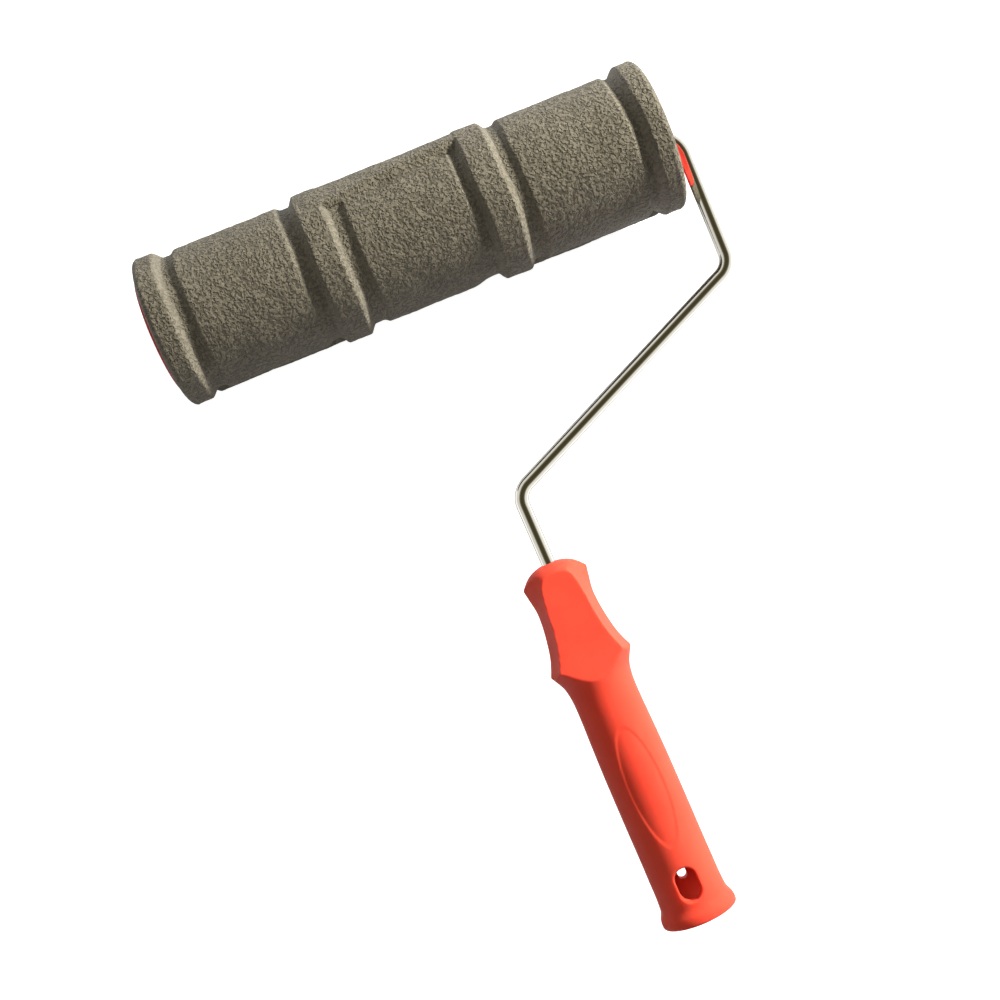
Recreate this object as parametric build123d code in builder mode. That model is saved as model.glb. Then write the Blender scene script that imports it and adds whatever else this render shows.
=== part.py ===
from build123d import *

import os
from math import cos, radians, sin, sqrt

# Pattern roller for pressing a brick pattern into fresh wall coating. Lengths are in millimetres.
# The origin is the middle of the pole socket's mouth, at the free end of the handle. +Y runs up the
# tool to the roller, +X along the roller to the side where the rod leaves it, and +Z away from the
# surface that the tool lies on. Near means the rod's side of the roller, and far the other side.

# Roller sleeve: one brick to a turn in each of three courses, with raised joints between them
sleeve_length = 235.0
core_radius = 25.0
rubber_wall = 5.35  # under the grooves
brick_height = 1.95
joint_height = 4.05
head_joint_height = 3.7
joint_spacing = 75.0
joint_foot = 17.3
rim_width = 13.2
brick_gap = 6.0
joint_slope = 3.0
brick_slope = 2.2
soft_edge = 1.8
rim_edge = 2.6
head_joint_turn = 30.0  # the middle course's head joint stands here, turned about +X from +Y
head_joint_root = 1.0  # of the head joint, sunk into the rubber under the grooves
bond_turn = 180.0  # the outer courses are laid half a brick round from the middle one

# Core tube and end caps
core_wall = 2.5
cap_overlap = 1.5  # of the cap's flange, past the core tube and over the rubber
near_cap_flange = 1.0
far_cap_flange = 1.6
cap_wall = 2.0
plug_depth = 18.0
dish_shoulder = 2.5  # from the core's bore in to the dish's mouth
dish_room = 4.9  # round the bush's flange, on the dish's floor
dish_depth = 12.5  # from the end of the sleeve in to the dish's floor
hub_wall = 3.4
hub_length = 11.0
rib_count = 6
rib_thickness = 1.8

# Bent rod
rod_radius = 3.25
reach = 325.0  # up the tool, from the handle's end to the roller's axis
roller_offset = -5.4  # the middle of the roller, across the tool from the handle's end
upright_gap = 7.4  # from the end of the sleeve out to the middle of the rod's upright
upright_length = 65.4
shank_length = 33.6  # from the handle's top to the rod's lowest corner
top_bend = 13.0
side_bend = 9.5
low_bend = 9.5
rod_tail = 2.2  # of rod beyond the push nut
rod_chamfer = 0.6
rod_seat_depth = 62.0  # of rod inside the handle
ear_reach = 2.25  # of the crimped ears, out from the rod
ear_thickness = 2.0
ear_length = 3.0
tang_gap = 9.0  # from the rod's lower end to its tang
tang_length = 6.0

# Bushes, thrust washers and push nut
running_clearance = 0.05
side_play = 0.3
bush_wall = 2.3
bush_flange_width = 2.0
bush_flange = 1.5
washer_width = 3.75
washer_thickness = 1.0
nut_width = 3.35
nut_rim = 1.2
nut_thickness = 0.7
nut_rise = 1.6
nut_slot_width = 0.9
nut_slot_length = 2.4
nut_slots = 6
nut_slot_bite = 0.5  # of each slot, inside the rod

# Handle: heights are measured up from its end, and drops down from its top
handle_length = 168.0
handle_lean = 1.35  # degrees, as the low bend leaves it
grip_radius = 15.1
waist_radius = 14.3
waist_drop = 64.0
end_flange_radius = 17.3
end_flange = 5.4
end_flange_edge = 0.8
flange_blend = 7.5
flange_root = 0.2  # of the grip's radius there, over its own
guard_overlap = 4.0  # of the grip, inside the guard
socket_radius = 9.6
socket_depth = 50.0
socket_step = 1.2  # from the socket in to the cored hollow beyond it
rod_floor = 16.0  # of solid plastic between the cored hollow and the rod
hang_slot_width = 9.8
hang_slot_length = 15.0
hang_slot_corner = 4.8
hang_slot_height = 17.6
back_slot_share = 0.42  # of the slot's size, in the back wall
guard_drop = 46.2
guard_root_drop = 55.7
guard_half_width = 18.75
guard_half_depth = 14.9
guard_flat = 14.8
neck_drop = 18.0
neck_half_width = 13.6
neck_half_depth = 12.8
neck_flat = 9.2
guard_root_narrowing = 0.2  # of the guard's lowest section, inside the grip
guard_root_flat = 1.2
guard_hollow = [(0.47, 0.25), (0.75, 0.5)]  # shares in size and height, from the guard to the neck
crown_drop = 7.6
crown_half_width = 14.95
crown_half_depth = 13.4
crown_flat = 8.4
top_half_width = 6.6
top_flat_share = 0.7
dome_share = (0.33, 0.55)  # in size and height, from the crown to the top
grip_run = 0.55  # of the waist's height, up to which the grip keeps its radius

sleeve_end = sleeve_length / 2
groove_radius = core_radius + rubber_wall
brick_radius = groove_radius + brick_height
joint_radius = groove_radius + joint_height
head_joint_radius = groove_radius + head_joint_height
joint_crest = joint_foot - 2 * joint_slope
core_bore = core_radius - core_wall
cap_radius = core_radius + cap_overlap
bush_bore = rod_radius + running_clearance
bush_radius = bush_bore + bush_wall
bush_flange_radius = bush_radius + bush_flange_width
hub_radius = bush_radius + hub_wall
washer_radius = rod_radius + washer_width
nut_radius = rod_radius + nut_width
dish_mouth_radius = core_bore - dish_shoulder
dish_floor_radius = bush_flange_radius + dish_room
dish_floor = sleeve_end - dish_depth
bush_face = dish_floor + bush_flange
washer_face = bush_face + side_play
ear_face = washer_face + washer_thickness
nut_end = ear_face + nut_thickness + nut_rise
rod_far_end = nut_end + rod_tail
ear_span = 2 * (rod_radius + ear_reach)
rod_seat = handle_length - rod_seat_depth
guard_height = handle_length - guard_drop
waist_height = handle_length - waist_drop

lean = radians(handle_lean)
handle_across = Vector(cos(lean), sin(lean), 0)
handle_up = Vector(-sin(lean), cos(lean), 0)
handle_plane = Plane(origin=(0, 0, 0), x_dir=handle_across, z_dir=handle_up)
handle_section = Plane(origin=(0, 0, 0), x_dir=handle_across, z_dir=(0, 0, 1))
handle_axis = Axis(origin=(0, 0, 0), direction=handle_up)

roller_middle = Vector(roller_offset, reach, 0)
roller_section = Plane(origin=roller_middle, x_dir=(1, 0, 0), z_dir=(0, 0, 1))
roller_axis = Axis(origin=roller_middle, direction=(1, 0, 0))

os.makedirs("parts", exist_ok=True)


def turned_section(turn):
    """The half plane of the roller's section, turned about the roller's axis by this many degrees."""
    angle = radians(turn)
    return Plane(origin=roller_middle, x_dir=(1, 0, 0), z_dir=(0, -sin(angle), cos(angle)))


def across_roller(place, turn):
    """A plane square to the roller, this far along it, with its own X turned this far about it."""
    angle = radians(turn)
    origin = roller_middle + Vector(place, 0, 0)
    return Plane(origin=origin, x_dir=(0, cos(angle), sin(angle)), z_dir=(1, 0, 0))


def on_circle(radius, sideways):
    """The point of a circle that stands this far to the side of its X axis."""
    return (sqrt(radius**2 - sideways**2), sideways)


def save(piece, name):
    """Label a finished piece and write it to its own file."""
    piece.part.label = name
    export_step(piece.part, f"parts/{name}.step")


# Pattern sleeve: a moulded rubber skin with a rim at each end, two joints running round it and
# three courses of bricks between them.
joint_start = joint_spacing / 2 - joint_foot / 2
joint_end = joint_spacing / 2 + joint_foot / 2
rim_foot = sleeve_end - rim_width
middle_brick = joint_start - brick_gap
raised_bands = [
    (-rim_foot + brick_gap, -joint_end - brick_gap, brick_radius, brick_slope),
    (-joint_end, -joint_start, joint_radius, joint_slope),
    (-middle_brick, middle_brick, brick_radius, brick_slope),
    (joint_start, joint_end, joint_radius, joint_slope),
    (joint_end + brick_gap, rim_foot - brick_gap, brick_radius, brick_slope),
]
sleeve_outline = [(-sleeve_end, core_radius), (-sleeve_end, joint_radius)]
sleeve_outline += [(-rim_foot - joint_slope, joint_radius), (-rim_foot, groove_radius)]
for start, end, radius, slope in raised_bands:
    sleeve_outline += [(start, groove_radius), (start + slope, radius)]
    sleeve_outline += [(end - slope, radius), (end, groove_radius)]
sleeve_outline += [(rim_foot, groove_radius), (rim_foot + joint_slope, joint_radius)]
sleeve_outline += [(sleeve_end, joint_radius), (sleeve_end, core_radius)]

head_joints = [
    (-joint_spacing / 2, joint_spacing / 2, head_joint_turn),
    (joint_spacing / 2, rim_foot + joint_slope, head_joint_turn + bond_turn),
    (-rim_foot - joint_slope, -joint_spacing / 2, head_joint_turn + bond_turn),
]

with BuildPart() as pattern_sleeve:
    with BuildSketch(roller_section) as sleeve_sketch:
        with BuildLine():
            Polyline(*sleeve_outline, close=True)
        make_face()
        corners = sleeve_sketch.vertices()
        end_corners = corners.filter_by(lambda v: v.Y > brick_radius and abs(v.X) > sleeve_end - 0.1)
        fillet(end_corners, radius=rim_edge)
        crests = sleeve_sketch.vertices().filter_by(
            lambda v: v.Y > brick_radius - 0.1 and abs(v.X) < sleeve_end - rim_edge - 0.1
        )
        fillet(crests, radius=soft_edge)
    revolve(axis=roller_axis)
    for start, end, turn in head_joints:
        with BuildSketch(across_roller(start, turn)) as head_joint:
            with BuildLine():
                crest_left = on_circle(head_joint_radius, joint_crest / 2)
                crest_right = on_circle(head_joint_radius, -joint_crest / 2)
                foot_left = on_circle(groove_radius, joint_foot / 2)
                foot_right = on_circle(groove_radius, -joint_foot / 2)
                ThreePointArc(crest_left, (head_joint_radius, 0), crest_right)
                Polyline(crest_right, foot_right, (core_radius + head_joint_root, 0), foot_left, crest_left)
            make_face()
            outer = head_joint.vertices().filter_by(lambda v: v.X > groove_radius + 1)
            fillet(outer, radius=soft_edge)
        extrude(amount=end - start)
save(pattern_sleeve, "pattern_sleeve")

# Core tube: the plastic tube that the rubber is bonded to.
with BuildPart() as core_tube:
    with BuildSketch(roller_section):
        with Locations((0, core_radius - core_wall / 2)):
            Rectangle(sleeve_length, core_wall)
    revolve(axis=roller_axis)
save(core_tube, "core_tube")

# End caps: dished discs pressed into the core tube. Each has a hub for its bush, ribs behind the
# dish and a flange over the ends of the tube and the rubber.
cap_inside = [
    (sleeve_end, cap_radius),
    (sleeve_end, core_bore),
    (sleeve_end - plug_depth, core_bore),
    (sleeve_end - plug_depth, core_bore - cap_wall),
    (sleeve_end - cap_wall, core_bore - cap_wall),
    (dish_floor - cap_wall, dish_floor_radius + cap_wall),
    (dish_floor - cap_wall, hub_radius),
    (dish_floor - hub_length, hub_radius),
    (dish_floor - hub_length, bush_radius),
    (dish_floor, bush_radius),
    (dish_floor, dish_floor_radius),
]
rib_reach = core_bore - cap_wall / 2
rib_length = plug_depth - dish_depth

for side_name, side, cap_flange in (("near", 1, near_cap_flange), ("far", -1, far_cap_flange)):
    cap_face = sleeve_end + cap_flange
    cap_outline = [(cap_face, dish_mouth_radius), (cap_face, cap_radius), *cap_inside]
    with BuildPart() as end_cap:
        with BuildSketch(roller_section) as cap_sketch:
            with BuildLine():
                Polyline(*[(side * x, radius) for x, radius in cap_outline], close=True)
            make_face()
            lip = cap_sketch.vertices().filter_by(lambda v: abs(v.X) > cap_face - 0.1)
            fillet(lip, radius=cap_flange / 2.1)
        revolve(axis=roller_axis)
        for number in range(rib_count):
            with BuildSketch(turned_section(number * 360 / rib_count)):
                with BuildLine():
                    Polyline(
                        (side * (dish_floor - cap_wall / 2), hub_radius - 1),
                        (side * (dish_floor - cap_wall / 2), rib_reach),
                        (side * (dish_floor - rib_length), rib_reach),
                        (side * (dish_floor - rib_length), hub_radius - 1),
                        close=True,
                    )
                make_face()
            extrude(amount=rib_thickness / 2, both=True)
    save(end_cap, f"{side_name}_end_cap")

    # Flanged bush: pressed into the cap's hub, it turns on the rod.
    with BuildPart() as bush:
        with BuildSketch(roller_section):
            with BuildLine():
                Polyline(
                    (side * (dish_floor - hub_length), bush_bore),
                    (side * (dish_floor - hub_length), bush_radius),
                    (side * dish_floor, bush_radius),
                    (side * dish_floor, bush_flange_radius),
                    (side * bush_face, bush_flange_radius),
                    (side * bush_face, bush_bore),
                    close=True,
                )
            make_face()
        revolve(axis=roller_axis)
    save(bush, f"{side_name}_bush")

    # Thrust washer: stands on the rod, between the bush and the ears or the push nut.
    with BuildPart() as thrust_washer:
        with BuildSketch(roller_section):
            with Locations((side * (washer_face + washer_thickness / 2), (rod_radius + washer_radius) / 2)):
                Rectangle(washer_thickness, washer_radius - rod_radius)
        revolve(axis=roller_axis)
    save(thrust_washer, f"{side_name}_thrust_washer")

# Push nut: a spring steel cone whose slotted teeth bite the far end of the rod.
with BuildPart() as push_nut:
    with BuildSketch(roller_section):
        with BuildLine():
            Polyline(
                (-ear_face, nut_radius),
                (-ear_face - nut_thickness, nut_radius),
                (-ear_face - nut_thickness, nut_radius - nut_rim),
                (-nut_end, rod_radius),
                (-nut_end + nut_thickness, rod_radius),
                (-ear_face, nut_radius - nut_rim),
                close=True,
            )
        make_face()
    revolve(axis=roller_axis)
    with BuildSketch(Plane(origin=roller_middle - Vector(nut_end + 1, 0, 0), z_dir=(1, 0, 0))):
        with PolarLocations(rod_radius + nut_slot_length / 2 - nut_slot_bite, nut_slots):
            Rectangle(nut_slot_length, nut_slot_width)
    extrude(amount=nut_thickness + nut_rise + 2, mode=Mode.SUBTRACT)
save(push_nut, "push_nut")

# Frame rod: one bright steel rod, bent three times. The axle carries the roller between its far end
# and the crimped ears, and a crimped tang keeps the lower end from turning in the handle.
rod_start = roller_middle - Vector(rod_far_end, 0, 0)
top_corner = roller_middle + Vector(sleeve_end + upright_gap, 0, 0)
side_corner = top_corner - Vector(0, upright_length, 0)
low_corner = handle_up * (handle_length + shank_length)
rod_end = handle_up * rod_seat
ear_middle = roller_middle + Vector(ear_face + ear_length / 2, 0, 0)

with BuildPart() as frame_rod:
    with BuildLine() as route:
        FilletPolyline(
            rod_start, top_corner, side_corner, low_corner, rod_end, radius=[top_bend, side_bend, low_bend]
        )
    with BuildSketch(Plane(origin=rod_start, z_dir=(1, 0, 0))):
        Circle(rod_radius)
    sweep()
    chamfer(frame_rod.faces().filter_by(GeomType.PLANE).edges(), length=rod_chamfer)
    with Locations(ear_middle):
        Box(ear_length, ear_span, ear_thickness)
    with BuildSketch(handle_plane.offset(rod_seat + tang_gap)):
        Rectangle(ear_span, ear_thickness)
    extrude(amount=tang_length)
save(frame_rod, "frame_rod")

# Handle: one moulding round the rod's end. The round grip ends in a rolled flange, and the upper part
# is six-sided, with a thumb flat on each face between the guard and the crown.
grip_curve = [
    (grip_radius + flange_root, flange_blend),
    (grip_radius, hang_slot_height),
    (grip_radius, waist_height * grip_run),
    (waist_radius, waist_height),
]
root_radius = waist_radius - guard_root_narrowing
guard_root = (handle_length - guard_root_drop, root_radius, guard_root_flat, root_radius)
guard = (guard_height, guard_half_width, guard_flat, guard_half_depth)
neck = (handle_length - neck_drop, neck_half_width, neck_flat, neck_half_depth)
crown = (handle_length - crown_drop, crown_half_width, crown_flat, crown_half_depth)
top = (handle_length, top_half_width, top_half_width * top_flat_share, top_half_width)


def between(low, high, share, height_share):
    """A section between two others: this share of the way to the high one in size, and in height."""
    shares = (height_share, share, share, share)
    return tuple(a + (b - a) * part for a, b, part in zip(low, high, shares))


upper_stations = [
    guard,
    *[between(guard, neck, *shares) for shares in guard_hollow],
    neck,
    crown,
    between(crown, top, *dome_share),
    top,
]

with BuildPart() as handle:
    with BuildSketch(handle_section):
        with BuildLine():
            Line((0, 0), (end_flange_radius - end_flange_edge, 0))
            Polyline(
                (end_flange_radius - end_flange_edge, 0),
                (end_flange_radius, end_flange_edge),
                (end_flange_radius, end_flange - end_flange_edge),
                (end_flange_radius - end_flange_edge, end_flange),
                grip_curve[0],
            )
            Spline(*grip_curve)
            Line(grip_curve[-1], (waist_radius, guard_height - guard_overlap))
            Line((waist_radius, guard_height - guard_overlap), (0, guard_height - guard_overlap))
            Line((0, guard_height - guard_overlap), (0, 0))
        make_face()
    revolve(axis=handle_axis)
    for stations in ([guard_root, guard], upper_stations):
        for height, half_width, flat, half_depth in stations:
            with BuildSketch(handle_plane.offset(height)):
                with BuildLine():
                    Polyline(
                        (flat, half_depth),
                        (half_width, 0),
                        (flat, -half_depth),
                        (-flat, -half_depth),
                        (-half_width, 0),
                        (-flat, half_depth),
                        close=True,
                    )
                make_face()
        loft()
    with BuildSketch(handle_plane):
        Circle(socket_radius - socket_step)
    extrude(amount=rod_seat - rod_floor, mode=Mode.SUBTRACT)
    with BuildSketch(handle_plane):
        Circle(socket_radius)
    extrude(amount=socket_depth, mode=Mode.SUBTRACT)
    for side, share in ((1, 1), (-1, back_slot_share)):
        with BuildSketch(Plane(origin=handle_up * hang_slot_height, x_dir=handle_up, z_dir=(0, 0, side))):
            RectangleRounded(hang_slot_length * share, hang_slot_width * share, hang_slot_corner * share)
        extrude(amount=end_flange_radius + 1, mode=Mode.SUBTRACT)
    add(frame_rod.part, mode=Mode.SUBTRACT)
save(handle, "handle")
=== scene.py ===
# %% [markdown]
# Pattern roller for pressing bricks into a fresh wall coating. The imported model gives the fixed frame:
# every piece is made round it, in metres. +Y runs up the tool from the handle's end to the roller, +X
# along the roller to the side where the rod leaves it, and +Z away from the table.

# %% Load the frame
from math import cos, pi, radians, sin, sqrt

import bpy
import numpy as np
from mathutils import Matrix, Vector


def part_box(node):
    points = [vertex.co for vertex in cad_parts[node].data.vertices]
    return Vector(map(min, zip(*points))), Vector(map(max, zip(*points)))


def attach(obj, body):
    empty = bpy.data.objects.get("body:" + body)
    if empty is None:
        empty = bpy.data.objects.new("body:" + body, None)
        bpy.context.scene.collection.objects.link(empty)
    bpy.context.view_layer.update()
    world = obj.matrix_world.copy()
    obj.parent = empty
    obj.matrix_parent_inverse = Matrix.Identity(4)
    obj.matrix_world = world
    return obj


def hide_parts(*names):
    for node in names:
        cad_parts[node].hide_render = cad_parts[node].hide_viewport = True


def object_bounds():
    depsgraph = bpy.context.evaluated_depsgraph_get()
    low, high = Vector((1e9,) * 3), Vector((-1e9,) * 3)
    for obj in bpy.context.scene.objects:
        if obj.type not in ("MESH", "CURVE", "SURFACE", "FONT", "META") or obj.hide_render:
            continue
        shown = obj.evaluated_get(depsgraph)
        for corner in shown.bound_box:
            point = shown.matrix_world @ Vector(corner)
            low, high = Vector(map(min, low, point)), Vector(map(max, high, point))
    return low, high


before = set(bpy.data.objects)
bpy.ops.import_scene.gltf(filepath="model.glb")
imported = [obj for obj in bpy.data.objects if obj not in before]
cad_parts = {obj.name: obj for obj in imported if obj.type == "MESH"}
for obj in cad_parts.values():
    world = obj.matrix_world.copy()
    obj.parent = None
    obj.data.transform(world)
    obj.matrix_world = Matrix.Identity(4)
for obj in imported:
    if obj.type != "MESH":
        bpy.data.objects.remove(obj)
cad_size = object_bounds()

MM = 0.001
print("the frame's nodes:", ", ".join(sorted(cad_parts)))

# %% [markdown]
# Every piece below starts as a primitive and is shaped in edit mode. An operator works on whatever is
# selected, so the helpers deselect everything first and then select by place.

# %% Helpers for selecting
def use(piece):
    """Make this the one selected and active object."""
    if bpy.context.object and bpy.context.object.mode != "OBJECT":
        bpy.ops.object.mode_set(mode="OBJECT")
    bpy.ops.object.select_all(action="DESELECT")
    piece.select_set(True)
    bpy.context.view_layer.objects.active = piece


def points(piece):
    """Its vertices in millimetres, one row each."""
    flat = np.zeros(len(piece.data.vertices) * 3)
    piece.data.vertices.foreach_get("co", flat)
    return flat.reshape(-1, 3) / MM


def put_points(piece, places):
    piece.data.vertices.foreach_set("co", (places * MM).ravel())
    piece.data.update()


def edge_ends(piece):
    flat = np.zeros(len(piece.data.edges) * 2, int)
    piece.data.edges.foreach_get("vertices", flat)
    return flat.reshape(-1, 2)


def pick(piece, vertices=None, edges=None, faces=None):
    """Select these by mask and open edit mode in the matching select mode."""
    use(piece)
    bpy.ops.object.mode_set(mode="EDIT")
    mode = "VERT" if vertices is not None else "EDGE" if edges is not None else "FACE"
    bpy.ops.mesh.select_mode(type=mode)
    bpy.ops.mesh.select_all(action="DESELECT")
    bpy.ops.object.mode_set(mode="OBJECT")
    for kind, mask in (("vertices", vertices), ("edges", edges), ("polygons", faces)):
        if mask is not None:
            getattr(piece.data, kind).foreach_set("select", np.asarray(mask, bool))
    bpy.ops.object.mode_set(mode="EDIT")


def done(piece):
    bpy.ops.object.mode_set(mode="OBJECT")
    piece.data.update()
    return piece


def named(name):
    """Name the primitive that was just added, and put its place and turn into its mesh."""
    piece = bpy.context.object
    piece.name = piece.data.name = name
    bpy.ops.object.transform_apply(location=True, rotation=True, scale=True)
    return piece


def apply_modifier(piece, kind, **settings):
    """Add a modifier, set it and apply it."""
    use(piece)
    modifier = piece.modifiers.new(kind.title(), kind)
    for setting, value in settings.items():
        setattr(modifier, setting, value)
    bpy.ops.object.modifier_apply(modifier=modifier.name)


def cut_lengthwise(piece, along, *cuts):
    """Subdivide the edges that run along this axis, once for each number of cuts."""
    for count in cuts:
        places, ends = points(piece), edge_ends(piece)
        span = np.abs(places[ends[:, 0]] - places[ends[:, 1]])
        pick(piece, edges=span[:, along] > span.sum(1) - span[:, along])
        bpy.ops.mesh.subdivide(number_cuts=count)
        done(piece)


def rings(piece, along, middle, start, steps):
    """Extrude the open ring at this place through (place, radius) steps, all round an axis through middle."""
    places = points(piece)
    at_start = np.abs(places[:, along] - start) < 0.25
    pick(piece, vertices=at_start)
    ring = places[at_start] - np.array(middle)
    ring[:, along] = 0
    radius = np.linalg.norm(ring, axis=1).mean()
    for place, wanted in steps:
        shift = Vector((0, 0, 0))
        shift[along] = (place - start) * MM
        size = Vector((wanted / radius,) * 3)
        size[along] = 1
        centre = Vector(middle) * MM
        centre[along] = place * MM
        bpy.ops.mesh.extrude_region_move(TRANSFORM_OT_translate={"value": shift})
        if abs(wanted - radius) > 1e-6:
            bpy.ops.transform.resize(value=size, center_override=centre)
        start, radius = place, wanted


def close_ring(piece):
    """Close the selected ring with a face, and leave edit mode."""
    bpy.ops.mesh.edge_face_add()
    return done(piece)


def finish_mesh(piece, angle=50):
    """Merge doubles, turn the faces outwards and shade smooth up to this angle."""
    pick(piece, vertices=np.ones(len(piece.data.vertices)))
    bpy.ops.mesh.remove_doubles(threshold=0.002 * MM)
    bpy.ops.mesh.normals_make_consistent(inside=False)
    done(piece)
    bpy.ops.object.shade_smooth_by_angle(angle=radians(angle))
    triangles = sum(len(face.vertices) - 2 for face in piece.data.polygons)
    low, high = points(piece).min(0), points(piece).max(0)
    print(piece.name, "triangles", triangles, "low", low.round(2), "high", high.round(2))


def smooth_step(value, start, end):
    """0 before start, 1 after end and a smooth rise between them."""
    share = np.clip((value - start) / (end - start), 0, 1)
    return share * share * (3 - 2 * share)


def curve_through(stations, at):
    """A smooth curve through (place, value) stations, read at these places."""
    place, value = np.array(stations, float).T
    slope = np.gradient(value, place)
    index = np.clip(np.searchsorted(place, at) - 1, 0, len(place) - 2)
    width = place[index + 1] - place[index]
    share = np.clip((at - place[index]) / width, 0, 1)
    rise = smooth_step(share, 0, 1)
    start_pull = share * (1 - share) ** 2 * width * slope[index]
    end_pull = share * share * (share - 1) * width * slope[index + 1]
    return value[index] * (1 - rise) + value[index + 1] * rise + start_pull + end_pull


def blended_low(a, b, width):
    """The lower of two values, rounded where they cross."""
    share = np.clip(0.5 + 0.5 * (b - a) / width, 0, 1)
    return b + (a - b) * share - width * share * (1 - share)


def blended_high(a, b, width):
    return -blended_low(-a, -b, width)


# %% [markdown]
# The camera looks down at the tool from the handle's side of its middle, turned so that the roller
# rises to the right.

# %% Camera
camera_place = Vector((-20.5, 202.52, 700)) * MM
turn = Matrix.Rotation(radians(21.5), 3, "Z") @ Matrix.Rotation(0.010, 3, "Z")
turn = turn @ Matrix.Rotation(0.001, 3, "X") @ Matrix.Rotation(0.0104, 3, "Y")
camera = bpy.data.objects.new("camera", bpy.data.cameras.new("camera"))
camera.matrix_world = Matrix.Translation(camera_place) @ turn.transposed().to_4x4()
camera.data.lens = 57.28
camera.data.sensor_width = 36
camera.data.clip_start = 0.01
bpy.context.scene.collection.objects.link(camera)
bpy.context.scene.camera = camera
print("camera at", tuple(round(x, 3) for x in camera_place))

# %% [markdown]
# The sleeve is a moulded rubber skin. A rim stands at each end, two mortar joints run round it, and
# three courses of bricks lie between them. It could be carved or lathed from a section, but a rubber
# moulding has no sharp step and no two alike. So it is a fine tube whose wall is raised and lowered as
# a sculptor would, by height fields along and round it, and two noise fields roughen it.

# %% Sleeve: the blank tube
low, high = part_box("pattern_sleeve")
roller_middle = (low + high) / 2 / MM
sleeve_half = (high.x - low.x) / 2 / MM
crest = (high.z - low.z) / 2 / MM
groove = crest - 4.35
core = 25.0
rim_edge = 3.6
sleeve_rows = (63, 4)
bpy.ops.object.select_all(action="DESELECT")
bpy.ops.mesh.primitive_cylinder_add(
    vertices=288, radius=groove * MM, depth=2 * (sleeve_half - rim_edge) * MM, end_fill_type="NOTHING",
    location=roller_middle * MM, rotation=(0, pi / 2, 0))
sleeve = named("textured_sleeve")
cut_lengthwise(sleeve, 0, *sleeve_rows)
print("sleeve blank: half length", round(sleeve_half, 2), "crest radius", round(crest, 2))

# %% Sleeve: rims, joints and bricks
rims = [(-130, -125, -108.2, -103.2), (103.8, 108.8, 125, 130)]
long_joints = [(-45.8, -42.2, -32.4, -28.4), (29.0, 32.8, 43.6, 47.6)]
joint_height, head_height, brick_height = 4.05, 4.0, 1.95


def band(along, foot_in, crest_in, crest_out, foot_out):
    """1 between the two crests, 0 outside the two feet."""
    return smooth_step(along, foot_in, crest_in) * (1 - smooth_step(along, crest_out, foot_out))


def turned_from(turn, centre):
    """Degrees round from a centre, between -180 and 180."""
    return (turn - centre + 180) % 360 - 180


def sleeve_height(along, turn):
    """Height over the grooves, at a place along the roller and a turn in degrees from +Y towards +Z."""
    swing = np.radians(turn)
    along = along + 0.35 * np.sin(2 * swing + 0.6) + 0.25 * np.sin(5 * swing + along / 31)
    high_bands = sum(band(along, *edges) for edges in rims + long_joints)
    worn = smooth_step(turned_from(turn, 180), -75, -5) * (1 - smooth_step(turned_from(turn, 180), 20, 80))
    bricks = band(along, -101.6, -98.0, -51.6, -48.4)
    bricks = bricks + band(along, -25.4, -22.2, 25.4 - 8.8 * worn, 28.6)
    bricks = bricks + band(along, 49.6, 52.8, 100.2, 103.6)
    height = blended_high(high_bands * joint_height, bricks * brick_height, 0.7)
    around = turned_from(turn, 30)
    lower_foot = 18.4 - along / 28 * 5.6
    lower_crest = lower_foot - 5 - 2 * smooth_step(along, -20, 5)
    middle_head = smooth_step(around, -16, -9) * (1 - smooth_step(around, lower_crest, lower_foot))
    middle_head = middle_head * band(along, -42, -37, 37, 42)
    opposite = turned_from(turn, 210)
    outer_head = smooth_step(opposite, -12.5, -6) * (1 - smooth_step(opposite, 9, 16))
    outer_head = outer_head * (band(along, -109, -104, -42, -37) + band(along, 37, 42, 106, 111))
    height = blended_high(height, (middle_head + outer_head) * head_height, 1.0)
    seam = np.exp(-((around - lower_foot - 0.5) / 2.4) ** 2) * band(along, -33, -26, 24, 31)
    return height - 1.2 * seam


places = points(sleeve)
offset = places - np.array(roller_middle)
turns = np.degrees(np.arctan2(offset[:, 2], offset[:, 1]))
heights = sleeve_height(offset[:, 0], turns)
radii = np.minimum(groove + heights, crest - 0.1)
ring = offset[:, 1:] / np.linalg.norm(offset[:, 1:], axis=1)[:, None]
places[:, 1:] = np.array(roller_middle)[1:] + ring * radii[:, None]
put_points(sleeve, places)
# How steep the relief is at each point. The rubber finish reads this to paint a highlight on the steep flanks and to
# soften their wrinkles.
reach = 0.6
slope = np.abs(sleeve_height(offset[:, 0] + reach, turns) - sleeve_height(offset[:, 0] - reach, turns)) / (2 * reach)
flank = sleeve.data.attributes.new("flank", "FLOAT", "POINT")
flank.data.foreach_set("value", smooth_step(slope, 0.25, 1.0).astype(np.float32))
print("sleeve heights from", round(heights.min(), 2), "to", round(heights.max(), 2))

# %% Sleeve: cast skin
for name, kind, size, strength in (("slow_swell", "CLOUDS", 14.0, 0.55), ("coarse_pebble", "CLOUDS", 2.2, 0.34)):
    swell = bpy.data.textures.new(name, kind)
    swell.noise_scale = size * MM
    swell.noise_depth = 1
    apply_modifier(sleeve, "DISPLACE", texture=swell, texture_coords="LOCAL", strength=strength * MM, mid_level=0.55)
    print(name, "applied")

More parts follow.
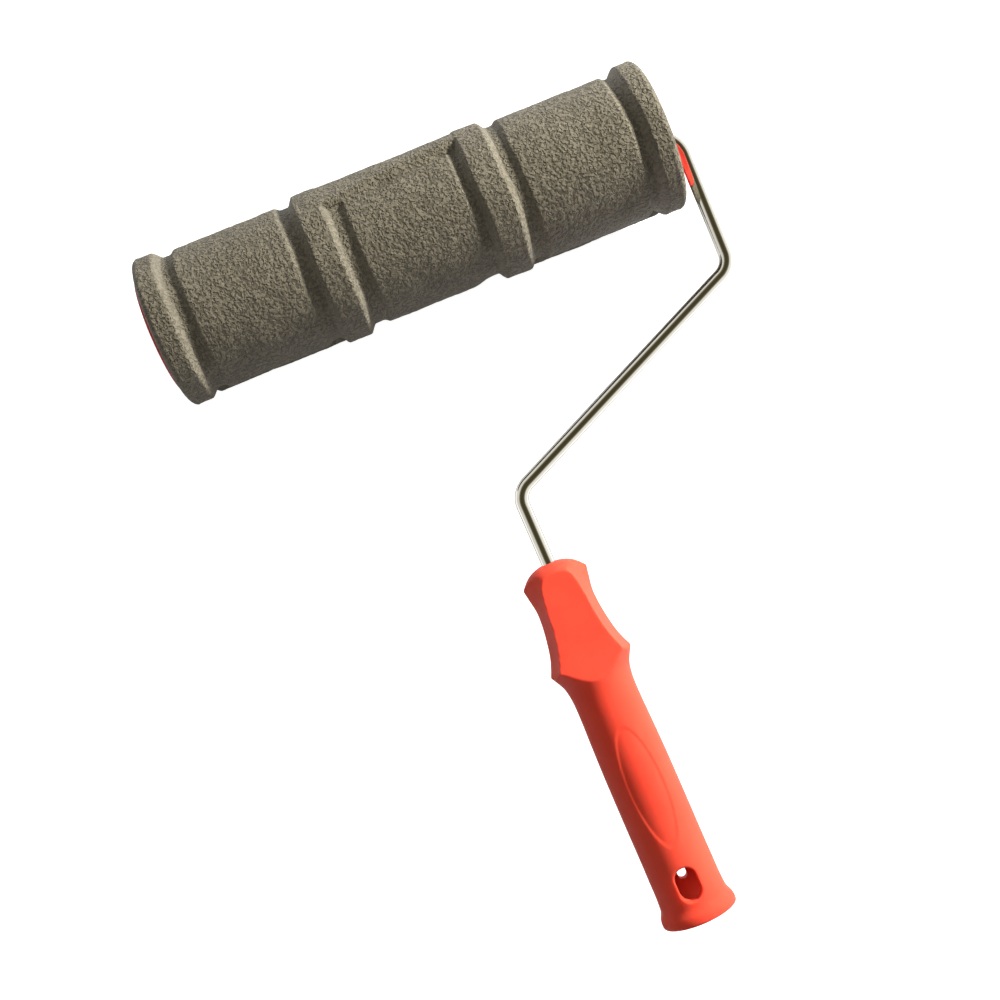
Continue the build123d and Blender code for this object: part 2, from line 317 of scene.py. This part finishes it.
# %% Sleeve: rounded ends and the bore
for side in (-1, 1):
    start = roller_middle.x + side * (sleeve_half - rim_edge)
    steps = []
    for share in range(1, 7):
        swing = share / 6 * pi / 2
        steps.append((start + side * rim_edge * sin(swing), crest - rim_edge * (1 - cos(swing))))
    face = roller_middle.x + side * sleeve_half
    steps += [(face, 29.0), (face, 27.0), (face, core), (face - side * sleeve_half / 2, core)]
    rings(sleeve, 0, roller_middle, start, steps)
    done(sleeve)
places = points(sleeve)
offset = places - np.array(roller_middle)
distance = np.linalg.norm(offset[:, 1:], axis=1)
bore = distance < core + 1
offset[bore, 1:] *= (core / distance[bore])[:, None]
put_points(sleeve, offset + np.array(roller_middle))
pick(sleeve, vertices=bore & (np.abs(offset[:, 0]) < sleeve_half - 1))
bpy.ops.mesh.bridge_edge_loops()
done(sleeve)
finish_mesh(sleeve, 60)

# %% [markdown]
# The handle is one plastic moulding. The grip is round, with a rolled flange at its end. The upper
# part is six-sided and has a dished flat for the thumb, front and back. A lathed body crossed with a
# six-sided bar gives exactly those edges, so the wall of a fine tube is drawn in to whichever of the
# two is nearer at each point.

# %% Handle: numbers
handle_length, handle_lean = 168.0, radians(1.35)
tube_start, tube_end = 3.4, 167.4
grip_profile = [(0, 17.6), (3.4, 17.15), (4.2, 16.95), (5.2, 16.5), (6.2, 16.05), (7.0, 15.75), (8.0, 15.52),
                (9.5, 15.38), (23, 15.1), (50, 15.08), (75, 14.95), (90, 14.6), (100, 14.35), (108, 14.5), (111, 14.85), (114.6, 15.7), (118, 17.35),
                (121.6, 19.6), (124, 22), (156, 22), (158, 18.4), (160.4, 15.7), (162.3, 14.0),
                (164.2, 12.2), (165.8, 10.2), (167, 7.8), (167.5, 6.4), (168, 5)]
ridge_profile = [(100, 24), (114, 21.6), (118, 20.4), (121.8, 19.1), (125.1, 17.7), (128.7, 16.45),
                 (135.7, 14.95), (142.8, 13.95), (149.8, 13.65), (156.9, 14.7), (160.4, 15.3), (168, 16)]
flat_depth = [(100, 20), (108, 17.2), (114, 15.6), (122, 14.3), (129, 13.4), (136, 12.8), (143, 12.3),
              (150, 12.0), (156, 12.05), (160, 12.2), (168, 12.4)]
flat_width = [(100, 22), (114, 18), (122, 14.9), (129, 12.4), (136, 10.7), (143, 9.7), (150, 9.1),
              (156, 8.3), (160, 7.4), (165, 4.6), (168, 4)]
slot_height, slot_half, slot_corner, slot_roll = 17.6, (4.9, 7.5), 4.8, 1.0
back_slot = (0.42, 0.42)  # the far opening's share of the near one's width and length
oval_middle, oval_half, oval_depth = (0.3, 63.4), (7.9, 27.9), 0.38
print("handle lean in degrees", round(handle_lean * 180 / pi, 2))


# %% Handle: the wall's radius
def handle_radius(height, swing):
    """The wall's distance from the axis, at a height and a turn from +X towards +Z."""
    across, ahead = np.abs(np.cos(swing)), np.abs(np.sin(swing))
    lathed = curve_through(grip_profile, height)
    ridge, depth = curve_through(ridge_profile, height), curve_through(flat_depth, height)
    flat = curve_through(flat_width, height)
    length = np.sqrt(depth ** 2 + (ridge - flat) ** 2)
    side = ridge * depth / (across * depth + ahead * (ridge - flat))
    front = depth / np.maximum(ahead, 0.02)
    radius = blended_low(blended_low(side, front, 0.35), lathed, 0.5)
    soft_ridge = ridge - 0.25 + 30 * (1 - across)
    radius = blended_low(radius, soft_ridge, 0.6)
    sideways, up = np.cos(swing) * radius, height - slot_height
    facing = np.sin(swing) > 0
    half_wide, half_long = (np.where(facing, half, half * share) for half, share in zip(slot_half, back_slot))
    corner = np.where(facing, slot_corner, slot_corner * back_slot[1])
    beyond = np.maximum(np.abs(sideways) - half_wide + corner, 0) ** 2
    beyond = np.sqrt(beyond + np.maximum(np.abs(up) - half_long + corner, 0) ** 2) - corner
    gap = np.clip(slot_roll - beyond, 0, slot_roll)
    radius = radius - (slot_roll - np.sqrt(slot_roll ** 2 - gap ** 2))
    round_oval = np.hypot((sideways - oval_middle[0]) / oval_half[0], (height - oval_middle[1]) / oval_half[1])
    return radius - oval_depth * (1 - smooth_step((round_oval - 1) * oval_half[0], -0.5, 0.35))


bpy.ops.object.select_all(action="DESELECT")
bpy.ops.mesh.primitive_cylinder_add(
    vertices=192, radius=15.1 * MM, depth=(tube_end - tube_start) * MM, end_fill_type="NOTHING",
    location=(0, (tube_start + tube_end) / 2 * MM, 0), rotation=(pi / 2, 0, 0))
handle = named("moulded_handle")
cut_lengthwise(handle, 1, 83, 3)
places = points(handle)
swing = np.arctan2(places[:, 2], places[:, 0])
radii = handle_radius(places[:, 1], swing)
places[:, 0], places[:, 2] = radii * np.cos(swing), radii * np.sin(swing)
put_points(handle, places)
print("handle half widths at guard, neck and crown:",
      [round(float(handle_radius(np.array([h]), np.array([0.0]))[0]), 2) for h in (121.8, 150, 160.4)])

# %% Handle: rolled flange, pole socket and the hole for the rod
low_radius = float(handle_radius(np.array([tube_start]), np.array([0.0]))[0])
socket_radius, hollow_radius, rod_radius = 9.6, 8.4, 3.25
mouth_steps = [(3.0, 17.22), (2.5, 17.3), (1.0, 17.3), (0.5, 17.2), (0.18, 16.9), (0.03, 16.5), (0, 16.0), (0, 13),
               (0, 10.9), (0.1, 10.4), (0.4, 9.95), (0.9, 9.7), (1.6, socket_radius), (12, socket_radius),
               (30, socket_radius), (50, socket_radius), (50.4, hollow_radius), (90, hollow_radius),
               (90.8, hollow_radius - 1), (91, hollow_radius - 2), (91, 3)]
rings(handle, 1, (0, 0, 0), tube_start, mouth_steps)
close_ring(handle)
top_steps = [(167.75, 5.4), (167.93, 4.6), (168, 3.9), (167.9, 3.5), (167.6, rod_radius + 0.05), (106, rod_radius + 0.05)]
rings(handle, 1, (0, 0, 0), tube_end, top_steps)
close_ring(handle)
print("handle closed at", points(handle)[:, 1].min(), "and", points(handle)[:, 1].max())

# %% Handle: the hang slot
for side, shares in ((1, (1, 1)), (-1, back_slot)):
    bpy.ops.object.select_all(action="DESELECT")
    bpy.ops.mesh.primitive_cube_add(
        size=1, location=(0, slot_height * MM, side * 0.01),
        scale=(2 * slot_half[0] * shares[0] * MM, 2 * slot_half[1] * shares[1] * MM, 0.02))
    cutter = named("slot_cutter")
    places, ends = points(cutter), edge_ends(cutter)
    pick(cutter, edges=np.abs(places[ends[:, 0]] - places[ends[:, 1]])[:, 2] > 1)
    bpy.ops.mesh.bevel(offset=slot_corner * shares[1] * MM, segments=9)
    done(cutter)
    apply_modifier(handle, "BOOLEAN", object=cutter, operation="DIFFERENCE", solver="EXACT")
    bpy.data.objects.remove(cutter)
handle.rotation_euler[2] = handle_lean
use(handle)
bpy.ops.object.transform_apply(location=True, rotation=True, scale=True)
finish_mesh(handle, 32)

# %% [markdown]
# The rod is bright plated steel, bent three times. A ring of edges is extruded along each straight run
# and spun round each bend, just as the real rod is bent round a former.

# %% Rod: run and bend
nodes_box = {name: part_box(name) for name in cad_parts}
rod_start = Vector((nodes_box["frame_rod"][0].x / MM, roller_middle.y, 0))
handle_up = Vector((-sin(handle_lean), cos(handle_lean), 0))
top_corner = Vector((nodes_box["frame_rod"][1].x / MM - rod_radius, roller_middle.y, 0))
side_corner = top_corner - Vector((0, 65.4, 0))
low_corner = handle_up * (handle_length + 33.6)
rod_end = handle_up * (handle_length - 62.0)
bends = [(top_corner, 13.0), (side_corner, 9.5), (low_corner, 9.5)]

bpy.ops.object.select_all(action="DESELECT")
bpy.ops.mesh.primitive_circle_add(vertices=48, radius=(rod_radius - 0.6) * MM, fill_type="NGON",
                                  location=rod_start * MM, rotation=(0, pi / 2, 0))
rod = named("bent_rod")
rings(rod, 0, rod_start, rod_start.x, [(rod_start.x + 0.6, rod_radius)])
here, heading = rod_start + Vector((0.6, 0, 0)), Vector((1, 0, 0))
for (corner, bend_radius), following in zip(bends, [side_corner, low_corner, rod_end]):
    outgoing = (following - corner).normalized()
    angle = heading.angle(outgoing)
    bend_start = corner - heading * bend_radius * sin(angle / 2) / cos(angle / 2)
    inwards = (outgoing - heading * heading.dot(outgoing)).normalized()
    bpy.ops.mesh.extrude_region_move(TRANSFORM_OT_translate={"value": (bend_start - here) * MM})
    clockwise = 1 if heading.cross(outgoing).z < 0 else -1
    bpy.ops.mesh.spin(steps=14, angle=angle, center=(bend_start + inwards * bend_radius) * MM,
                      axis=(0, 0, clockwise))
    here, heading = corner + outgoing * (bend_start - corner).length, outgoing
bpy.ops.mesh.extrude_region_move(TRANSFORM_OT_translate={"value": (rod_end - here) * MM})
close_ring(rod)
print("rod ends at", points(rod).min(0).round(2), "and", points(rod).max(0).round(2))

# %% Rod: crimped ears and tang
ear_place = nodes_box["near_thrust_washer"][1].x / MM + 1.5
tang_place = handle_up * (handle_length - 62.0 + 9.0 + 3.0)
crimps = [rod]
for name, place, lean, size in (("ears", Vector((ear_place, roller_middle.y, 0)), 0, (3.0, 11.0, 2.0)),
                                ("tang", tang_place, handle_lean, (11.0, 6.0, 2.0))):
    bpy.ops.object.select_all(action="DESELECT")
    bpy.ops.mesh.primitive_cube_add(size=1, location=place * MM, rotation=(0, 0, lean), scale=Vector(size) * MM)
    crimp = named(name)
    apply_modifier(crimp, "BEVEL", width=0.55 * MM, segments=4)
    crimps.append(crimp)
for crimp in crimps:
    crimp.select_set(True)
bpy.context.view_layer.objects.active = rod
bpy.ops.object.join()
finish_mesh(rod, 40)

# %% [markdown]
# Each finish is a small network of nodes on the Principled shader. Effects that several finishes share
# are node groups, each built once: a moulded grain for plastics, and an uneven tone of dust and wear.

# %% Node helpers
def add_node(tree, kind, inputs=None, **settings):
    """A node of this kind with its settings, its unlinked inputs set by name or number."""
    new = tree.nodes.new(kind)
    for setting, value in settings.items():
        setattr(new, setting, value)
    for name, value in (inputs or {}).items():
        if isinstance(value, bpy.types.NodeSocket):
            tree.links.new(value, new.inputs[name])
        else:
            new.inputs[name].default_value = value
    return new


def math_node(tree, operation, first, second=0.0, third=0.0):
    return add_node(tree, "ShaderNodeMath", {0: first, 1: second, 2: third}, operation=operation).outputs[0]


def ramp_node(tree, value, stops):
    """A colour ramp through (position, colour) stops."""
    new = add_node(tree, "ShaderNodeValToRGB", {"Fac": value})
    elements = new.color_ramp.elements
    while len(elements) < len(stops):
        elements.new(0.5)
    for element, (position, colour) in zip(elements, stops):
        element.position, element.color = position, (*colour, 1)
    return new.outputs["Color"]


def mix_colours(tree, share, first, second, blend="MIX"):
    new = add_node(tree, "ShaderNodeMix", data_type="RGBA", blend_type=blend)
    for socket, value in zip((new.inputs[0], new.inputs[6], new.inputs[7]), (share, first, second)):
        if isinstance(value, bpy.types.NodeSocket):
            tree.links.new(value, socket)
        else:
            socket.default_value = value if isinstance(value, float) else (*value, 1)
    return new.outputs[2]


def finish_named(name, roughness, metallic=0.0, **sockets):
    """A new material with its Principled shader, and its object coordinates."""
    material = bpy.data.materials.new(name)
    material.use_nodes = True
    tree = material.node_tree
    shader = tree.nodes["Principled BSDF"]
    shader.inputs["Roughness"].default_value = roughness
    shader.inputs["Metallic"].default_value = metallic
    for socket, value in sockets.items():
        shader.inputs[socket.replace("_", " ")].default_value = value
    place = tree.nodes.new("ShaderNodeTexCoord").outputs["Object"]
    return material, tree, shader, place


def bump(tree, shader, height, depth, strength=1.0):
    """Feed a height, this deep in millimetres, to the shader's normal."""
    inputs = {"Height": height, "Distance": depth * MM, "Strength": strength}
    new = add_node(tree, "ShaderNodeBump", inputs)
    tree.links.new(new.outputs["Normal"], shader.inputs["Normal"])


def group_named(name, inputs, outputs):
    """An empty node group with its inputs and outputs, and its two end nodes."""
    tree = bpy.data.node_groups.new(name, "ShaderNodeTree")
    for label, kind, value in inputs:
        socket = tree.interface.new_socket(label, in_out="INPUT", socket_type="NodeSocket" + kind)
        if value is not None:
            socket.default_value = value
    for label, kind in outputs:
        tree.interface.new_socket(label, in_out="OUTPUT", socket_type="NodeSocket" + kind)
    return tree, tree.nodes.new("NodeGroupInput").outputs, tree.nodes.new("NodeGroupOutput").inputs


# %% Shared effect: moulded grain
grain, given, gives = group_named(
    "moulded grain", [("Place", "Vector", None), ("Grains per metre", "Float", 900.0), ("Contrast", "Float", 1.0)],
    [("Height", "Float"), ("Pits", "Float")])
fine = add_node(grain, "ShaderNodeTexNoise",
                {"Vector": given["Place"], "Scale": given["Grains per metre"], "Detail": 3.0, "Roughness": 0.6})
centred = math_node(grain, "SUBTRACT", fine.outputs["Fac"], 0.5)
grain.links.new(math_node(grain, "MULTIPLY_ADD", centred, given["Contrast"], 0.5), gives["Height"])
pits = add_node(grain, "ShaderNodeTexVoronoi", {"Vector": given["Place"], "Scale": given["Grains per metre"]})
grain.links.new(math_node(grain, "LESS_THAN", pits.outputs["Distance"], 0.12), gives["Pits"])

# %% Shared effect: uneven tone
tone, given, gives = group_named(
    "uneven tone", [("Place", "Vector", None), ("Colour", "Color", (0.5, 0.5, 0.5, 1)),
                    ("Worn colour", "Color", (0.6, 0.6, 0.6, 1)), ("Patches per metre", "Float", 30.0),
                    ("Amount", "Float", 0.3)],
    [("Colour", "Color"), ("Patches", "Float")])
patches = add_node(tone, "ShaderNodeTexNoise",
                   {"Vector": given["Place"], "Scale": given["Patches per metre"], "Detail": 5.0, "Roughness": 0.62})
spread = add_node(tone, "ShaderNodeMapRange",
                  {"Value": patches.outputs["Fac"], "From Min": 0.35, "From Max": 0.68}).outputs["Result"]
share = math_node(tone, "MULTIPLY", spread, given["Amount"])
tone.links.new(mix_colours(tone, share, given["Colour"], given["Worn colour"]), gives["Colour"])
tone.links.new(spread, gives["Patches"])


def use_group(tree, group, **inputs):
    new = tree.nodes.new("ShaderNodeGroup")
    new.node_tree = group
    for name, value in inputs.items():
        socket = new.inputs[name.replace("_", " ")]
        if isinstance(value, bpy.types.NodeSocket):
            tree.links.new(value, socket)
        else:
            socket.default_value = value
    return new.outputs


# %% [markdown]
# The rubber is cast in a mould with a wrinkled face. The skin has raised worm-like wrinkles about a
# millimetre wide, with small pits between them. Winding lines lie where a noise field crosses its
# middle value, so the wrinkles are made from that, and a second noise breaks them up.

# %% Finish: sleeve rubber
rubber, tree, shader, place = finish_named("sleeve_rubber", 0.62, Specular_IOR_Level=0.45)
winding = add_node(tree, "ShaderNodeTexNoise",
                   {"Vector": place, "Scale": 700.0, "Detail": 1.6, "Roughness": 0.5, "Distortion": 0.35})
wrinkle = add_node(tree, "ShaderNodeMapRange", {"Value": winding.outputs["Fac"], "From Min": 0.39, "From Max": 0.58},
                   interpolation_type="SMOOTHSTEP").outputs["Result"]
broken = add_node(tree, "ShaderNodeTexNoise", {"Vector": place, "Scale": 120.0, "Detail": 1.0})
kept = add_node(tree, "ShaderNodeMapRange", {"Value": broken.outputs["Fac"], "From Min": 0.32, "From Max": 0.55,
                                             "To Min": 0.45, "To Max": 1.0})
wrinkles = math_node(tree, "MULTIPLY", wrinkle, kept.outputs["Result"])
small = use_group(tree, grain, Place=place, Grains_per_metre=1150.0, Contrast=1.0)
height = math_node(tree, "MULTIPLY_ADD", small["Height"], 0.35, wrinkles)
height = math_node(tree, "MULTIPLY_ADD", small["Pits"], -0.3, height)
worn = use_group(tree, tone, Place=place, Colour=(0.140, 0.122, 0.085, 1), Worn_colour=(0.186, 0.164, 0.118, 1),
                 Patches_per_metre=45.0, Amount=0.55)
# The low parts of the wrinkle height are darkened in the colour: painted shade in the pits and between the wrinkles.
pit_painted_shade = ramp_node(tree, height, [(0.1, (0.62, 0.62, 0.62)), (0.8, (1.0, 1.0, 1.0))])
skin = mix_colours(tree, 1.0, worn["Colour"], pit_painted_shade, "MULTIPLY")
# The steep flanks of rims, joints and bricks are mixed a little toward a paler colour: a painted highlight on the steep
# sides.
flank_mask = add_node(tree, "ShaderNodeAttribute", attribute_name="flank").outputs["Fac"]
flank_painted_highlight = math_node(tree, "MULTIPLY", flank_mask, 0.12)
tree.links.new(mix_colours(tree, flank_painted_highlight, skin, (0.30, 0.27, 0.215)), shader.inputs["Base Color"])
low_wrinkles = math_node(tree, "MULTIPLY_ADD", flank_mask, -0.6, 1.0)
bump(tree, shader, math_node(tree, "MULTIPLY", height, low_wrinkles), 0.85, 1.0)

# %% Finish: handle plastic
plastic, tree, shader, place = finish_named("handle_plastic", 0.5, Specular_IOR_Level=0.16, Subsurface_Weight=0.3)
shader.inputs["Subsurface Radius"].default_value = (0.006, 0.0012, 0.0006)
shader.inputs["Subsurface Scale"].default_value = 1.0
small = use_group(tree, grain, Place=place, Grains_per_metre=1700.0, Contrast=1.0)
worn = use_group(tree, tone, Place=place, Colour=(0.84, 0.068, 0.036, 1), Worn_colour=(0.88, 0.088, 0.048, 1),
                 Patches_per_metre=40.0, Amount=0.6)
tree.links.new(worn["Colour"], shader.inputs["Base Color"])
rough = math_node(tree, "MULTIPLY_ADD", worn["Patches"], 0.08, 0.45)
tree.links.new(rough, shader.inputs["Roughness"])
bump(tree, shader, small["Height"], 0.03, 0.5)

# %% Finish: rod plating
chrome, tree, shader, place = finish_named("rod_chrome", 0.1, metallic=1.0)
worn = use_group(tree, tone, Place=place, Colour=(0.74, 0.72, 0.66, 1), Worn_colour=(0.60, 0.58, 0.52, 1),
                 Patches_per_metre=160.0, Amount=0.3)
tree.links.new(worn["Colour"], shader.inputs["Base Color"])
rough = math_node(tree, "MULTIPLY_ADD", worn["Patches"], 0.07, 0.07)
tree.links.new(rough, shader.inputs["Roughness"])
bump(tree, shader, worn["Patches"], 0.02, 0.15)


# %% Finishes: caps, core, bushes, washers and push nut
def small_finish(name, colour, worn_colour, roughness, metallic, grains, depth):
    """A plain finish with its own grain and uneven tone."""
    material, tree, shader, place = finish_named(name, roughness, metallic)
    small = use_group(tree, grain, Place=place, Grains_per_metre=grains, Contrast=1.0)
    worn = use_group(tree, tone, Place=place, Colour=(*colour, 1), Worn_colour=(*worn_colour, 1),
                     Patches_per_metre=90.0, Amount=0.6)
    tree.links.new(worn["Colour"], shader.inputs["Base Color"])
    tree.links.new(math_node(tree, "MULTIPLY_ADD", worn["Patches"], 0.12, roughness - 0.06), shader.inputs["Roughness"])
    bump(tree, shader, small["Height"], depth, 0.5)
    return material


cap_plastic = small_finish("cap_plastic", (0.50, 0.040, 0.026), (0.56, 0.058, 0.038), 0.45, 0.0, 1500.0, 0.03)
core_plastic = small_finish("core_plastic", (0.60, 0.60, 0.57), (0.66, 0.65, 0.61), 0.5, 0.0, 1200.0, 0.03)
bush_nylon = small_finish("bush_nylon", (0.78, 0.76, 0.68), (0.70, 0.68, 0.60), 0.35, 0.0, 1500.0, 0.02)
washer_steel = small_finish("washer_steel", (0.60, 0.60, 0.58), (0.48, 0.47, 0.44), 0.32, 1.0, 2500.0, 0.02)
nut_steel = small_finish("nut_steel", (0.22, 0.22, 0.25), (0.30, 0.27, 0.22), 0.3, 1.0, 2500.0, 0.02)

# %% Give every piece its finish
for name, material in (("near_end_cap", cap_plastic), ("far_end_cap", cap_plastic), ("core_tube", core_plastic),
                       ("near_bush", bush_nylon), ("far_bush", bush_nylon), ("near_thrust_washer", washer_steel),
                       ("far_thrust_washer", washer_steel), ("push_nut", nut_steel)):
    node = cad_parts[name]
    if not node.material_slots:
        node.data.materials.append(material)
    for node_slot in node.material_slots:
        node_slot.material = material
for piece, node, body, slot, material in (
        (sleeve, "pattern_sleeve", "roller", "sleeve_rubber", rubber),
        (handle, "handle", "frame", "handle_plastic", plastic),
        (rod, "frame_rod", "frame", "rod_chrome", chrome)):
    piece.data.materials.clear()
    piece.data.materials.append(material)
    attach(piece, body)
    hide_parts(node)
    print(piece.name, "rides on", body)

# %% [markdown]
# The stage is a plain pale floor under soft studio light: a large soft key from the right and above,
# and a pale room. The room's darker ceiling is what a bright rod mirrors along its middle.

# %% Stage: floor
floor_level = cad_size[0][2] - 0.002
bpy.ops.object.select_all(action="DESELECT")
bpy.ops.mesh.primitive_plane_add(size=12, location=(0, 0.2, floor_level))
floor = named("floor")
floor_paint, tree, shader, place = finish_named("floor_paint", 0.9, Specular_IOR_Level=0.1)
shader.inputs["Base Color"].default_value = (0.5, 0.5, 0.5, 1)
shader.inputs["Emission Color"].default_value = (1, 1, 1, 1)
rays = tree.nodes.new("ShaderNodeLightPath").outputs
# Glossy rays that meet the floor within 68 mm of where they start see it unlit, and it brightens fully by 100 mm. This
# is a painted shadow under the tool, seen only in reflections, and it gives the bright rod its dark outline.
beyond_shade = add_node(tree, "ShaderNodeMapRange", {"Value": rays["Ray Length"], "From Min": 0.068, "From Max": 0.1})
mirrored = math_node(tree, "MULTIPLY", rays["Is Glossy Ray"], beyond_shade.outputs["Result"])
seen = math_node(tree, "ADD", rays["Is Camera Ray"], mirrored)
tree.links.new(math_node(tree, "MULTIPLY_ADD", seen, 0.86, 0.10), shader.inputs["Emission Strength"])
floor.data.materials.append(floor_paint)

# %% Stage: lights and room
def soft_light(name, place, aim, size, watts, colour=(1, 1, 1)):
    light = bpy.data.lights.new(name, "AREA")
    light.shape, light.size, light.energy, light.color = "DISK", size, watts, colour
    lamp = bpy.data.objects.new(name, light)
    lamp.location = place
    lamp.rotation_euler = (Vector(aim) - Vector(place)).to_track_quat("-Z", "Y").to_euler()
    lamp.visible_glossy = False
    bpy.context.scene.collection.objects.link(lamp)


soft_light("key", (1.15, 0.64, 0.50), (0, 0.25, 0), 0.25, 52)
soft_light("fill", (-0.15, 0.5, 1.1), (0, 0.2, 0), 0.5, 3)

room = bpy.data.worlds.new("room")
bpy.context.scene.world = room
room.use_nodes = True
tree = room.node_tree
background = tree.nodes["Background"]
direction = tree.nodes.new("ShaderNodeTexCoord").outputs["Generated"]
upwards = add_node(tree, "ShaderNodeSeparateXYZ", {"Vector": direction}).outputs["Z"]
tree.links.new(ramp_node(tree, upwards, [(0.5, (1, 1, 1)), (0.68, (0.85, 0.82, 0.72)), (0.8, (0.20, 0.18, 0.11)),
                                         (0.95, (0.07, 0.06, 0.035))]), background.inputs["Color"])
sideways = add_node(tree, "ShaderNodeSeparateXYZ", {"Vector": direction}).outputs["X"]
even = math_node(tree, "MULTIPLY_ADD", sideways, 0.15, 0.22)
rays = tree.nodes.new("ShaderNodeLightPath").outputs
mirrored = math_node(tree, "MULTIPLY", rays["Is Glossy Ray"], 0.8)
tree.links.new(math_node(tree, "ADD", even, mirrored), background.inputs["Strength"])

scene = bpy.context.scene
scene.view_settings.view_transform = "Standard"
print("lit")
